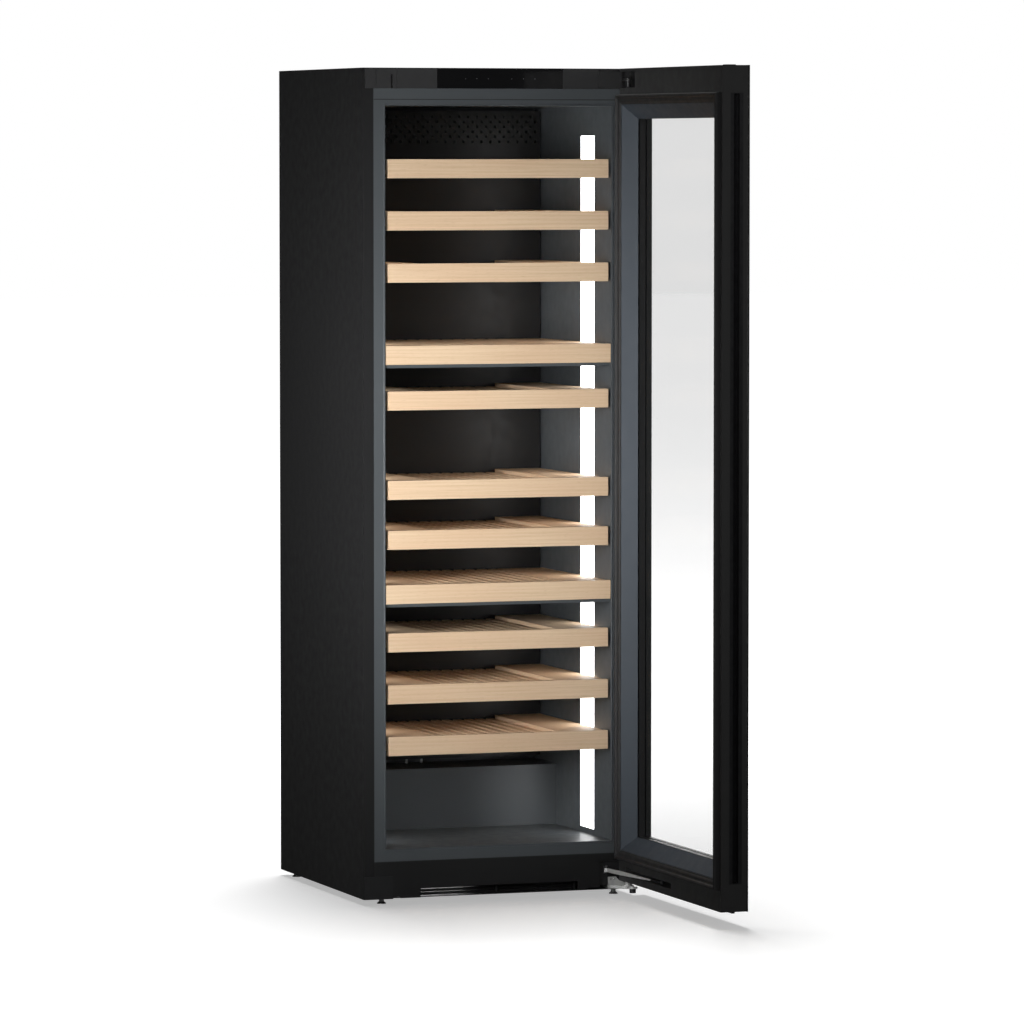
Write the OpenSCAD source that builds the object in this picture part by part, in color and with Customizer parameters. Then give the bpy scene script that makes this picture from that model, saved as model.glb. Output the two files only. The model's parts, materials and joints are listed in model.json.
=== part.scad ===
// Free-standing wine cooler: glass door on the right-hand hinge, nine sliding wooden
// shelves, two fixed wooden shelves and a compressor compartment behind the base.
// The origin is on the floor, under the middle of the cabinet's front edge.
// +X is the cabinet's right as seen from the front, +Y runs to the back, +Z is up.

/* [Cabinet] */
// Width of the cabinet
cab_w = 700; // [680:1:740]
// Depth of the cabinet without the door
cab_d = 686; // [660:1:720]
// Overall height from the floor
cab_h = 2044; // [2030:1:2060]
// Height of the cabinet's lower edge above the floor
foot_h = 15; // [12:1:17]
// Thickness of the outer sheet metal
sheet = 1.5; // [1:0.1:2]
// Width of the side panels' front strips
strip_w = 27; // [20:1:30]
// Height of the control fascia
fascia_h = 50; // [46:1:54]
// How far the fascia stands in front of the cabinet
fascia_proud = 4; // [2:0.5:5]

/* [Interior] */
// Clear width between the liner's side walls
bay_w = 586; // [580:1:590]
// Height of the interior floor
bay_floor = 138; // [130:1:145]
// Height of the interior ceiling
bay_top = 1952; // [1940:1:1955]
// Depth from the front edge to the air duct cover
bay_d = 516; // [500:1:530]
// Depth of the air duct behind its cover
duct_d = 50; // [45:1:60]
// Thickness of the plastic liner
liner_t = 3; // [2:0.5:4]
// Height of the step over the compressor compartment
step_top = 290; // [280:1:300]
// Distance from the front edge to the step
step_y = 400; // [390:1:420]
// Lower edge of the front flange
flange_bottom = 107; // [100:1:115]

/* [Lighting] */
// Width of each light column
light_w = 100; // [80:1:110]
// Distance from the front edge to the light columns
light_y = 121; // [110:1:130]
// Lower end of the light columns
light_z0 = 152; // [150:1:170]
// Upper end of the light columns
light_z1 = 1880; // [1860:1:1890]

/* [Shelves] */
// Heights of the shelf fronts' upper edges, from the top shelf to the bottom one
shelf_top = [1822, 1695, 1568, 1368, 1257, 1039, 917, 784, 666, 539, 412];
// Height of a shelf's front board
board_h = 46; // [40:1:48]
// Thickness of a shelf's front board
board_t = 20; // [16:1:22]
// Width of a sliding shelf
slide_w = 570; // [566:1:572]
// Width of a fixed shelf
fixed_w = 583; // [578:1:584]
// Distance from the front edge to the deck's rear end
deck_end = 500; // [480:1:505]
// Width of the solid boards at a deck's sides
side_board_w = 122; // [100:1:130]
// Number of slats between the side boards
slat_count = 11; // [9:1:13]
// Width of a slat
slat_w = 19; // [16:1:22]
// Depth of the slats below the front board's upper edge
slat_drop = 10; // [6:1:14]

/* [Door] */
// Thickness of the door with its glass
door_t = 70; // [66:1:74]
// Height of the door's lower edge
door_z0 = 40; // [38:1:44]
// Gap between the closed door and the cabinet
door_gap = 7; // [6.5:0.5:8]
// Distance of the hinge axis from the cabinet's right-hand side
hinge_in = 22; // [20:1:24]
// Distance of the hinge axis in front of the cabinet
hinge_out = 24; // [23:1:26]
// Opening angle at rest
door_rest = 90; // [90:1:90]
// Thickness of the front glass
glass_t = 5; // [4:0.5:6]
// Inset of the gasket from the door's sides
gasket_in = 8; // [7:1:10]
// Width of the gasket
gasket_w = 25; // [22:1:27]
// Width of the sloped frame round the glass
slope_w = 35; // [30:1:38]
// Depth from the door's inner plane to the inner pane
slope_d = 26; // [22:1:28]
// Height the gasket stands above the door's inner plane
gasket_h = 6.2; // [5:0.1:6.2]
// Depth of the finger groove in the door's free edge
grip_d = 14; // [10:1:15]
// Width of the finger groove
grip_w = 14.5; // [12:0.5:16]

/* [Hidden] */
$fn = 48;

// The two fixed shelves' places in shelf_top; every other shelf slides
upper_fixed = 3;
lower_fixed = 7;
SLIDING = [for (i = [0 : len(shelf_top) - 1]) if (i != upper_fixed && i != lower_fixed) i];

half_w = cab_w / 2;
bay_x = bay_w / 2;
skin = 0.2;                                  // spacing that keeps close faces apart
panel_top = cab_h - sheet;
fascia_z = cab_h - fascia_h;
flange_x = half_w - strip_w;
flange_top = bay_top + 15;
liner_back = bay_d + duct_d;
foam_z0 = 97;
foam_wall = 30;                              // foam between the step and the compartment
comp_y = step_y + liner_t + foam_wall;       // front of the compressor compartment
comp_top = step_top - liner_t - foam_wall;
light_depth = 10;
return_w = 18;                               // rear return of a side panel
FEET = [[-292, 40], [314, 40], [-322, 640], [322, 640]];

// Cooling circuit
fan_z = 1740;
coil_z = 1250;
pipe_y = bay_d + 28;
cooling_y = 560;
cooling_z = 112;
shaft_r = 3;
inlet_x = 200;
inlet_z = 60;
inlet_w = 50;
inlet_h = 30;

// Front base
tray_y = 14;                                 // front edge of the base tray
corner_w = 75;
corner_top = 71;
plinth_x1 = 264;
vent_x0 = -204;
vent_x1 = 206;
vent_top = 40;

// Display pocket in the fascia
display_x0 = -161;
display_x1 = 164;
display_t = 3;
fascia_x0 = -345;
fascia_x1 = 258;
fascia_back = 24;
hinge_cover_x1 = 319;
hinge_cover_y = 2;

// Hinge
hinge_x = half_w - hinge_in;
hinge_y = -hinge_out;
upper_pin_r = 5;
lower_pin_r = 6;
bush_wall = 4;
pin_play = 0.05;
recess_z0 = cab_h - 47;
recess_z1 = cab_h - 7;
bracket_t = 6;
upper_plate_r = 8;
upper_plate_z = 2014;
upper_pin_z = 1980;
lower_plate_z = 20;
lower_pin_top = 60;
stop_x = hinge_x + 10;
stop_y = hinge_y - 10;

// Door, drawn closed and then turned about the hinge
door_in = -door_gap;                         // inner plane
door_out = door_in - door_t;                 // front of the glass
glass_y = door_out + glass_t;
gasket_x = half_w - gasket_in;
gasket_z0 = 92;
gasket_z1 = 1981;
slope_x = gasket_x - gasket_w;
slope_z0 = gasket_z0 + gasket_w;
slope_z1 = gasket_z1 - gasket_w;
slope_proud = 5.3;
pane_x = slope_x - slope_w;
pane_z0 = slope_z0 + slope_w;
pane_z1 = slope_z1 - slope_w;
pane_y = door_in - slope_d;                  // inner pane's inner face
pane_t = 4;
mid_pane_y = pane_y - 19;
seal_d = 5;
seal_back = 8;
grip_z0 = door_z0 + 68;
grip_z1 = cab_h - 67;
grip_y = door_in - 44;                       // groove's front edge
profile_d = 20;
profile_y0 = door_in - 53;
profile_y1 = door_in - 21;

// Soft-close arm
arm_x = 280;
arm_y = -4;
arm_z = 60;
arm_h = 10;
arm_l = 290;
arm_t = 4;
arm_eye_r = 6;
arm_pin_r = 3;
arm_angle = 187.5;                           // when the door is closed
track_x0 = -18;
track_x1 = 294;
track_z0 = 58;
track_z1 = 72;
track_d = 40;
lug_t = 4;

// Shelves
board_y = 1;                                 // setback of the front board
deck_y0 = board_y + board_t;
slat_t = 12;
batten_h = 14;
batten_w = 30;
batten_y = [45, 240, 455];
rail_y0 = 26;
rail_y1 = 480;
rail_h = 20;
rail_up = 6;                                 // runner above the front board's lower edge
channel_t = 1.4;
channel_lip = 2.8;
rail_play = 0.5;
divider_t = 8;

// ---- Shared shapes ----

// A box from its lowest corner to its highest corner
module block(lo, hi) {
  translate(lo) cube([hi[0] - lo[0], hi[1] - lo[1], hi[2] - lo[2]]);
}

// A box mirrored to both sides of the middle plane
module both_sides() {
  children();
  mirror([1, 0, 0]) children();
}

// An upright four-sided frame: outer half width and heights less an opening
module upright_ring(y0, y1, ox, oz0, oz1, ix, iz0, iz1) {
  difference() {
    block([-ox, y0, oz0], [ox, y1, oz1]);
    block([-ix, y0 - 1, iz0], [ix, y1 + 1, iz1]);
  }
}

// A tapered opening: half width x0 and heights z00..z01 at y0, x1 and z10..z11 at y1
module tapered_opening(y0, y1, x0, z00, z01, x1, z10, z11) {
  intersection() {
    translate([0, 0, z00 - 200])
      linear_extrude(z01 - z00 + 400)
        polygon([[-x0, y0], [x0, y0], [x1, y1], [-x1, y1]]);
    translate([-x0 - x1, 0, 0])
      rotate([90, 0, 90])
        linear_extrude(2 * (x0 + x1))
          polygon([[y0, z00], [y1, z10], [y1, z11], [y0, z01]]);
  }
}

// Places the closed door's parts at the rest angle
module door_at_rest() {
  translate([hinge_x, hinge_y, 0])
    rotate([0, 0, door_rest])
      translate([-hinge_x, -hinge_y, 0]) children();
}

// ---- Cabinet shell ----

// The left panel; its front strip starts at strip_z and is narrow beside the fascia
module side_panel(strip_z) {
  block([-half_w, 0, foot_h], [-half_w + sheet, cab_d, panel_top]);
  block([-half_w + sheet, 0, strip_z], [-half_w + strip_w, sheet, fascia_z]);
  block([-half_w + sheet, 0, fascia_z], [fascia_x0, sheet, panel_top]);
  block([-half_w + sheet, cab_d - sheet, foot_h], [-half_w + return_w, cab_d, panel_top]);
}

module left_side_panel() {
  color("#1d1d1e") side_panel(corner_top);
}

module right_side_panel() {
  color("#1d1d1e") mirror([1, 0, 0]) side_panel(50);
}

module top_panel() {
  color("#202021")
    block([-half_w, 0, panel_top], [half_w, cab_d, cab_h]);
}

module back_panel() {
  x1 = half_w - return_w - skin;
  color("#2a2a2b")
    block([-x1, cab_d - sheet, comp_top], [x1, cab_d, panel_top]);
}

module base_tray() {
  x1 = half_w - sheet;
  color("#2b2b2d")
    difference() {
      union() {
        block([-x1, tray_y, foot_h], [x1, cab_d - sheet, foot_h + 2]);
        both_sides() block([x1 - 2, 70, foot_h + 2], [x1, cab_d - 20, foot_h + 40]);
        // upright plate that carries the power inlet
        block([150, cab_d - 3, foot_h + 2], [half_w - return_w, cab_d - sheet, 130]);
      }
      for (p = FEET) translate([p[0], p[1], 0]) cylinder(r = 5, h = 40);
      block([inlet_x, cab_d - 10, inlet_z], [inlet_x + inlet_w, cab_d + 1, inlet_z + inlet_h]);
    }
}

module levelling_feet() {
  color("#c9c9c9")
    for (p = FEET)
      translate([p[0], p[1], 0]) rotate_extrude()
        polygon([[0, 0], [11, 0], [11, 2], [6, 6], [5.5, 12], [7, 12],
                 [7, foot_h], [4, foot_h], [4, 22], [0, 22]]);
}

// ---- Insulation and liner ----

module liner_hollow(grow) {
  // the interior with its duct and step, grown outwards by the liner's thickness
  difference() {
    block([-bay_x - grow, -1, bay_floor - grow], [bay_x + grow, liner_back + grow, bay_top + grow]);
    block([-bay_x - 10, step_y + grow, bay_floor - 20],
          [bay_x + 10, liner_back + 10, step_top - grow]);
  }
}

module light_pockets(depth) {
  both_sides()
    block([bay_x, light_y, light_z0], [bay_x + depth, light_y + light_w, light_z1]);
}

module inner_liner() {
  color("#5b5f63")
    difference() {
      union() {
        intersection() {
          liner_hollow(liner_t);
          block([-half_w, 0, 0], [half_w, cab_d, cab_h]);
        }
        upright_ring(0, liner_t, flange_x, flange_bottom, flange_top,
                     bay_x, bay_floor, bay_top);
      }
      liner_hollow(0);
      light_pockets(light_depth);
      pipe_run(4, comp_top, step_top + 1);
    }
}

// The two refrigerant pipes' course between two heights
module pipe_run(r, z0, z1) {
  for (x = [-60, -20]) translate([x, pipe_y, z0]) cylinder(r = r, h = z1 - z0, $fn = 24);
}

module foam_insulation() {
  x1 = half_w - sheet;
  color("#d8cfa8")
    difference() {
      block([-x1, liner_t, foam_z0], [x1, cab_d - sheet, panel_top]);
      intersection() {
        liner_hollow(liner_t);
        block([-half_w, 0, 0], [half_w, cab_d, cab_h]);
      }
      light_pockets(light_depth);
      block([-half_w, comp_y, 0], [half_w, cab_d, comp_top]);
      // recess for the fascia, the control board and the upper hinge
      block([-half_w, 0, fascia_z], [half_w, fascia_back + 40, panel_top]);
      pipe_run(4, comp_top - 1, step_top);
    }
}

module front_crossbar() {
  color("#5b5f63")
    difference() {
      block([-flange_x, 0, flange_top], [flange_x, liner_t, fascia_z]);
      // shadow groove over the liner's flange
      block([-flange_x - 1, -1, flange_top - 1], [flange_x + 1, liner_t / 2, flange_top + 0.8]);
    }
}

// ---- Controls and lighting ----

module control_fascia() {
  bracket_x = hinge_x - upper_plate_r - 0.5;
  color("#383838")
    difference() {
      union() {
        block([fascia_x0, -fascia_proud, fascia_z], [fascia_x1, fascia_back, panel_top]);
        // set-back end behind the hinge cover
        block([fascia_x1, hinge_cover_y, fascia_z], [-fascia_x0, hinge_cover_y + 6, panel_top]);
      }
      // way out for the upper hinge bracket
      block([bracket_x, 0, upper_plate_z - 0.5],
            [bracket_x + 2 * upper_plate_r + 1, 20, upper_plate_z + bracket_t + 0.5]);
      block([display_x0, -fascia_proud - 1, fascia_z - 1],
            [display_x1, -fascia_proud + display_t, panel_top + 1]);
      // hollow behind the display
      block([-150, -fascia_proud + display_t + 2, fascia_z + 5], [150, fascia_back + 1, panel_top - 5]);
      // catch slot and shadow grooves
      block([-280, -fascia_proud - 1, fascia_z - 1], [-275, 4, fascia_z + 33]);
      for (x = [-318, -265])
        block([x, -fascia_proud - 1, fascia_z - 1], [x + 1, -fascia_proud + 1, panel_top + 1]);
    }
}

module control_display() {
  color("#0d0d0f")
    block([display_x0 + skin, -fascia_proud, fascia_z + skin],
          [display_x1 - skin, -fascia_proud + display_t, panel_top - skin]);
}

module control_board() {
  y0 = -fascia_proud + display_t + 6;
  color("#1f5a36") {
    block([-140, y0, fascia_z + 5], [140, y0 + 1.6, panel_top - 5]);
    block([-60, y0 + 1.6, fascia_z + 12], [-30, y0 + 5, fascia_z + 36]);
    block([20, y0 + 1.6, fascia_z + 14], [50, y0 + 6, fascia_z + 30]);
  }
}

module hinge_cover() {
  color("#3a3a3a")
    block([fascia_x1 + 0.6, -fascia_proud - 0.4, fascia_z + 4],
          [hinge_cover_x1, hinge_cover_y, panel_top - 6]);
}

module light_columns() {
  color("white") light_pockets(light_depth);
}

// ---- Air duct and cooling circuit ----

module air_duct_cover() {
  x1 = bay_x - 3;
  hole_pitch = 24;
  row_pitch = 12.5;
  rows = 6;
  color("#141414")
    difference() {
      union() {
        block([-x1, bay_d, step_top + 13], [x1, bay_d + 2, bay_top - 9]);
        both_sides() block([x1 - 2, bay_d + 2, step_top + 13], [x1, bay_d + 12, bay_top - 9]);
      }
      for (r = [0 : rows - 1])
        for (c = [0 : 22])
          translate([-264 + hole_pitch * c + (r % 2) * hole_pitch / 2, bay_d - 1,
                     bay_top - 24 - row_pitch * r])
            rotate([-90, 0, 0]) cylinder(r = 3.5, h = 4, $fn = 24);
      // air return slots
      for (i = [0 : 11])
        block([-230 + 40 * i, bay_d - 1, step_top + 30], [-210 + 40 * i, bay_d + 4, step_top + 36]);
    }
}

// Finned coil with its pipes, its mounting plate and the fan's motor
module evaporator() {
  y0 = bay_d + 10;
  y1 = liner_back - 4;
  motor_y = y1 - 8;
  color("#b9bdc0") {
    for (x = [-180 : 15 : 180]) block([x - 0.6, y0, coil_z], [x + 0.6, y1, coil_z + 310]);
    for (z = [coil_z + 40 : 60 : coil_z + 280])
      translate([-195, pipe_y, z]) rotate([0, 90, 0]) cylinder(r = 5, h = 390, $fn = 24);
    pipe_run(3.2, comp_top - 50, coil_z + 40);
    block([-190, y1, coil_z - 20], [190, liner_back, coil_z + 350]);
    block([-12, y1, coil_z + 350], [12, liner_back, fan_z + 20]);
    translate([0, motor_y, fan_z]) rotate([-90, 0, 0]) cylinder(r = 18, h = 8);
    translate([0, motor_y - 20, fan_z]) rotate([-90, 0, 0]) cylinder(r = shaft_r, h = 20);
  }
}

// A fan wheel turning about its own Z axis, with its bore open at the top
module fan_wheel(r, h, blades) {
  hub_r = r * 0.28;
  chord = r * 0.56;
  difference() {
    union() {
      cylinder(r = hub_r, h = h);
      for (i = [0 : blades - 1])
        rotate([0, 0, 360 / blades * i])
          translate([r * 0.2, 0, h / 2]) rotate([35, 0, 0])
            translate([0, -chord / 2, -0.8]) cube([r * 0.76, chord, 1.6]);
    }
    translate([0, 0, h * 0.2]) cylinder(r = shaft_r + pin_play, h = h);
  }
}

module evaporator_fan() {
  color("#2e2f31")
    translate([0, bay_d + 10, fan_z]) rotate([90, 0, 0]) mirror([0, 0, 1]) fan_wheel(70, 24, 5);
}

module compressor() {
  z0 = foot_h + 2;
  color("#161616")
    translate([190, 560, 0]) {
      difference() {
        union() {
          translate([0, 0, z0 + 8])
            rotate_extrude()
              polygon([[0, 0], [78, 0], [86, 8], [86, 100], [80, 125], [62, 146], [45, 152], [0, 152]]);
          block([-100, -75, z0 + 6], [100, 75, z0 + 12]);
        }
        for (x = [-88, 88])
          for (y = [-62, 62])
            translate([x, y, 0]) cylinder(r = 5, h = 60);
      }
      for (x = [-88, 88])
        for (y = [-62, 62])
          translate([x, y, z0]) cylinder(r = 10, h = 6);
    }
}

module condenser() {
  z0 = foot_h + 2;
  color("#26282a") {
    for (y = [470 : 22 : 650]) block([-300, y - 0.5, z0 + 4], [-110, y + 0.5, 190]);
    for (z = [50 : 44 : 182])
      for (x = [-270, -205, -140])
        translate([x, 462, z]) rotate([-90, 0, 0]) cylinder(r = 4, h = 196, $fn = 24);
    block([-300, 462, z0], [-105, 658, z0 + 4]);
    // fan shroud, motor arm, motor and shaft
    difference() {
      block([-108, 462, z0], [-105, 658, 206]);
      translate([-110, cooling_y, cooling_z]) rotate([0, 90, 0]) cylinder(r = 80, h = 8);
    }
    block([-108, cooling_y - 6, z0], [-105, cooling_y + 6, cooling_z]);
    translate([-108, cooling_y, cooling_z]) rotate([0, 90, 0]) cylinder(r = 20, h = 14);
    translate([-108, cooling_y, cooling_z]) rotate([0, 90, 0]) cylinder(r = shaft_r, h = 33);
  }
}

module condenser_fan() {
  color("#101010")
    translate([-68, cooling_y, cooling_z]) rotate([0, -90, 0]) fan_wheel(72, 22, 5);
}

module evaporation_tray() {
  color("#1b1b1c")
    difference() {
      block([130, 500, 177], [270, 620, 205]);
      block([133, 503, 180], [267, 617, 206]);
    }
}

module power_inlet() {
  color("#0b0b0b")
    difference() {
      block([inlet_x + skin, cab_d - 30, inlet_z + skin],
            [inlet_x + inlet_w - skin, cab_d, inlet_z + inlet_h - skin]);
      block([inlet_x + 10, cab_d - 20, inlet_z + 5],
            [inlet_x + inlet_w - 10, cab_d + 1, inlet_z + inlet_h - 5]);
    }
  color("#c0c0c0")
    for (x = [-8, 0, 8])
      translate([inlet_x + inlet_w / 2 + x - 1, cab_d - 20, inlet_z + 13]) cube([2, 14, 6]);
}

// ---- Front base ----

module plinth_panel() {
  color("#18181a")
    translate([0, liner_t, 0]) rotate([90, 0, 0]) linear_extrude(liner_t)
      polygon([[-flange_x, corner_top], [-half_w + corner_w, corner_top],
               [-half_w + corner_w, 20], [-256, 20], [-256, 16], [vent_x0, 16],
               [vent_x0, vent_top], [vent_x1, vent_top], [vent_x1, 18], [230, 18],
               [230, 22], [plinth_x1, 22], [plinth_x1, 87], [flange_x, 87],
               [flange_x, flange_bottom], [-flange_x, flange_bottom]]);
}

module plinth_corner() {
  color("#1c1c1e")
    difference() {
      block([-half_w + sheet, -1, foot_h], [-half_w + corner_w, tray_y, corner_top]);
      block([-half_w + sheet + 3, 3, foot_h - 1],
            [-half_w + corner_w + 1, tray_y + 1, corner_top - 3]);
    }
}

module vent_grille() {
  color("#0a0a0a") {
    for (i = [0 : 2])
      translate([vent_x0, 24, 19 + 8 * i]) rotate([30, 0, 0]) cube([vent_x1 - vent_x0, 9, 1.6]);
    for (x = [vent_x0, -2, vent_x1 - 4])
      block([x, 20, foot_h + 2], [x + 4, 34, vent_top]);
  }
}

module closer_housing() {
  x0 = plinth_x1 + 1;
  x1 = 322;
  color("#202022")
    difference() {
      union() {
        block([x0, 6, 27], [x1, 60, 86]);
        // lugs above and below the arm's eye
        for (z = [arm_z - lug_t - 0.4, arm_z + arm_h + 0.4]) {
          block([arm_x - arm_eye_r, arm_y, z], [arm_x + arm_eye_r, 6, z + lug_t]);
          translate([arm_x, arm_y, z]) cylinder(r = arm_eye_r, h = lug_t);
        }
      }
      block([x0 + 4, 20, 31], [x1 - 4, 61, 82]);
    }
  color("#9a9a9a")
    translate([arm_x, arm_y, arm_z - 0.4]) cylinder(r = arm_pin_r, h = arm_h + 0.8);
}

// ---- Hinges ----

module upper_hinge_bracket() {
  z1 = upper_plate_z + bracket_t;
  color("#2f2f31") {
    block([hinge_x - upper_plate_r, hinge_y, upper_plate_z], [hinge_x + upper_plate_r, 58, z1]);
    translate([hinge_x, hinge_y, upper_plate_z]) cylinder(r = upper_plate_r, h = bracket_t);
    translate([hinge_x, hinge_y, upper_pin_z])
      cylinder(r = upper_pin_r, h = upper_plate_z - upper_pin_z);
    block([hinge_x - upper_plate_r, 52, fascia_z], [hinge_x + upper_plate_r, 58, upper_plate_z]);
  }
}

module lower_hinge_bracket() {
  z1 = lower_plate_z + bracket_t;
  color("#c8c8c8")
    difference() {
      union() {
        translate([0, 0, lower_plate_z]) linear_extrude(bracket_t)
          polygon([[286, -2], [346, -2], [348, hinge_y - 14], [320, hinge_y - 16], [300, -20]]);
        translate([stop_x, stop_y, lower_plate_z]) cylinder(r = 12, h = bracket_t);
        // foot under the soft-close housing, on the base tray
        block([290, -2, lower_plate_z], [346, 60, z1]);
        block([290, tray_y, foot_h + 2], [346, 60, lower_plate_z]);
        // upright leaf with its sloped gusset edge, below the door's turning corner
        translate([0, -2, 0]) rotate([90, 0, 0]) linear_extrude(4)
          polygon([[284, 17], [345, 17], [345, 26], [312, 39], [304, 48], [284, 48]]);
        translate([hinge_x, hinge_y, z1]) cylinder(r = lower_pin_r, h = lower_pin_top - z1);
        translate([hinge_x, hinge_y, z1]) cylinder(r = 12, h = 4);
      }
      translate([stop_x, stop_y, 0]) cylinder(r = 4, h = 40);
      translate([FEET[1][0], FEET[1][1], 0]) cylinder(r = 5, h = 40);
    }
}

module hinge_stop_bolt() {
  color("#131313")
    translate([stop_x, stop_y, 0]) {
      translate([0, 0, 9]) cylinder(r = 8, h = lower_plate_z - 9);
      translate([0, 0, lower_plate_z - 1]) cylinder(r = 3.6, h = bracket_t + 3);
    }
}

// ---- Shelves ----

// Slats and side boards, with their upper faces measured from the shelf's top edge
module deck(z_top, width, side_drop, middle_drop, under) {
  x1 = width / 2;
  x0 = x1 - side_board_w;
  pitch = 2 * x0 / slat_count;
  both_sides() block([x0, deck_y0, under], [x1, deck_end, z_top - side_drop]);
  for (i = [0 : slat_count - 1])
    translate([-x0 + pitch * (i + 0.5) - slat_w / 2, deck_y0, z_top - middle_drop - slat_t])
      cube([slat_w, deck_end - deck_y0, slat_t]);
}

module wooden_shelf(z_top, width, side_drop, middle_drop, batten_z) {
  x1 = width / 2;
  under = z_top - middle_drop - slat_t;
  color("#dcbf96") {
    block([-x1, board_y, z_top - board_h], [x1, deck_y0, z_top]);
    deck(z_top, width, side_drop, middle_drop, under);
    for (y = batten_y)
      block([-x1, y - batten_w / 2, batten_z], [x1, y + batten_w / 2, under]);
  }
}

module sliding_shelf(i) {
  zt = shelf_top[i];
  wooden_shelf(zt, slide_w, 2, slat_drop, zt - slat_drop - slat_t - batten_h);
}

module shelf_runners(i) {
  z0 = shelf_top[i] - board_h + rail_up;
  color("#8d9093")
    both_sides()
      block([slide_w / 2, rail_y0, z0], [bay_x - channel_t - 0.6, rail_y1, z0 + rail_h]);
}

module fixed_shelves() {
  for (i = [upper_fixed, lower_fixed])
    wooden_shelf(shelf_top[i], fixed_w, 1, 1, shelf_top[i] - board_h);
}

module zone_dividers() {
  color("#4b4f54")
    for (i = [upper_fixed, lower_fixed])
      block([-bay_x, 6, shelf_top[i] - board_h - divider_t], [bay_x, bay_d - 2, shelf_top[i] - board_h]);
}

// The cabinet's half of every telescopic slide
module shelf_channels() {
  lip_x = bay_x - channel_t - channel_lip;
  color("#3a3c3f")
    for (i = SLIDING) {
      z0 = shelf_top[i] - board_h + rail_up - rail_play;
      z1 = z0 + rail_h + 2 * rail_play;
      both_sides() {
        block([bay_x - channel_t, rail_y0, z0 - channel_t], [bay_x, rail_y1 + 20, z1 + channel_t]);
        for (z = [z0 - channel_t, z1])
          block([lip_x, rail_y0, z], [bay_x - channel_t, rail_y1 + 20, z + channel_t]);
      }
    }
}

// ---- Door, drawn closed ----

// The hinge-side corner is rounded about the hinge so that it clears the cabinet
module corner_clearance() {
  clear_r = hinge_out - 0.8;
  difference() {
    block([hinge_x, hinge_y, 0], [half_w + 1, 0, cab_h + 10]);
    translate([hinge_x, hinge_y, -1]) cylinder(r = clear_r, h = cab_h + 20, $fn = 96);
  }
}

module door_frame() {
  color("#1b1b1b")
    door_at_rest()
      difference() {
        upright_ring(glass_y, door_in, half_w, door_z0, cab_h, slope_x, slope_z0, slope_z1);
        corner_clearance();
        // pocket for the grip profile in the free edge
        block([-half_w - 1, profile_y0, grip_z0 - 2], [-half_w + profile_d, profile_y1, grip_z1 + 2]);
        // pockets for the end caps
        for (z = [[door_z0 - 1, door_z0 + 4], [cab_h - 4, cab_h + 1]])
          block([-half_w + 4, door_out + 11, z[0]], [-half_w + 50, door_in - 5, z[1]]);
        // recess for the upper hinge bracket, open to the inside and narrow at the hinge side
        block([hinge_x - 90, door_in - 45, recess_z0], [half_w - 5, door_in + 1, recess_z1]);
        block([hinge_x, hinge_y - 11.5, recess_z0], [half_w + 1, door_in + 1, recess_z1]);
        // seats of the bushes
        translate([hinge_x, hinge_y, recess_z0 - 20]) cylinder(r = upper_pin_r + bush_wall, h = 21);
        translate([hinge_x, hinge_y, door_z0 - 1]) cylinder(r = lower_pin_r + bush_wall, h = 25);
        // track for the soft-close arm, with room for its housing's lugs
        block([track_x0, door_in - track_d, track_z0], [track_x1, door_in + 1, track_z1]);
        block([arm_x - 22, door_in - 9, track_z0 - 5], [track_x1, door_in + 1, track_z1 + 5]);
      }
}

module door_slope_frame() {
  land = 1.5;
  y1 = door_in + slope_proud;
  color("#53585c")
    door_at_rest()
      difference() {
        block([-slope_x, pane_y, slope_z0], [slope_x, y1, slope_z1]);
        tapered_opening(pane_y - 0.01, y1 + 0.01, pane_x, pane_z0, pane_z1,
                        slope_x - land, slope_z0 + land, slope_z1 - land);
      }
}

module door_gasket() {
  y1 = door_in + gasket_h;
  lip_y = door_in + 2;
  lip = 9.5;
  color("#232323")
    door_at_rest()
      difference() {
        union() {
          block([-gasket_x, door_in, gasket_z0], [gasket_x, lip_y, gasket_z1]);
          tapered_opening(lip_y, y1, gasket_x, gasket_z0, gasket_z1,
                          gasket_x - lip, gasket_z0 + lip, gasket_z1 - lip);
        }
        block([-slope_x, door_in - 1, slope_z0], [slope_x, 1, slope_z1]);
      }
}

module door_front_glass() {
  color([0.1, 0.1, 0.1, 0.5])
    door_at_rest()
      block([-half_w, door_out, door_z0], [half_w, glass_y, cab_h]);
}

module door_inner_panes() {
  color([0.85, 0.9, 0.9, 0.4])
    door_at_rest() {
      block([-slope_x, pane_y - pane_t, slope_z0], [slope_x, pane_y, slope_z1]);
      block([-slope_x, mid_pane_y - pane_t, slope_z0], [slope_x, mid_pane_y, slope_z1]);
    }
}

module glazing_spacers() {
  color("#2d2d2d")
    door_at_rest() {
      upright_ring(mid_pane_y, pane_y - pane_t, slope_x, slope_z0, slope_z1, pane_x, pane_z0, pane_z1);
      upright_ring(glass_y + seal_d, mid_pane_y - pane_t, slope_x, slope_z0, slope_z1,
                   pane_x, pane_z0, pane_z1);
      upright_ring(glass_y, glass_y + seal_d, slope_x, slope_z0, slope_z1,
                   pane_x + seal_back, pane_z0 - seal_back, pane_z1 + seal_back);
    }
}

module door_grip_profile() {
  color("#262626")
    door_at_rest()
      difference() {
        block([-half_w, profile_y0, grip_z0 - 2], [-half_w + profile_d, profile_y1, grip_z1 + 2]);
        block([-half_w - 1, grip_y, grip_z0], [-half_w + grip_d, grip_y + grip_w, grip_z1]);
      }
}

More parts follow.
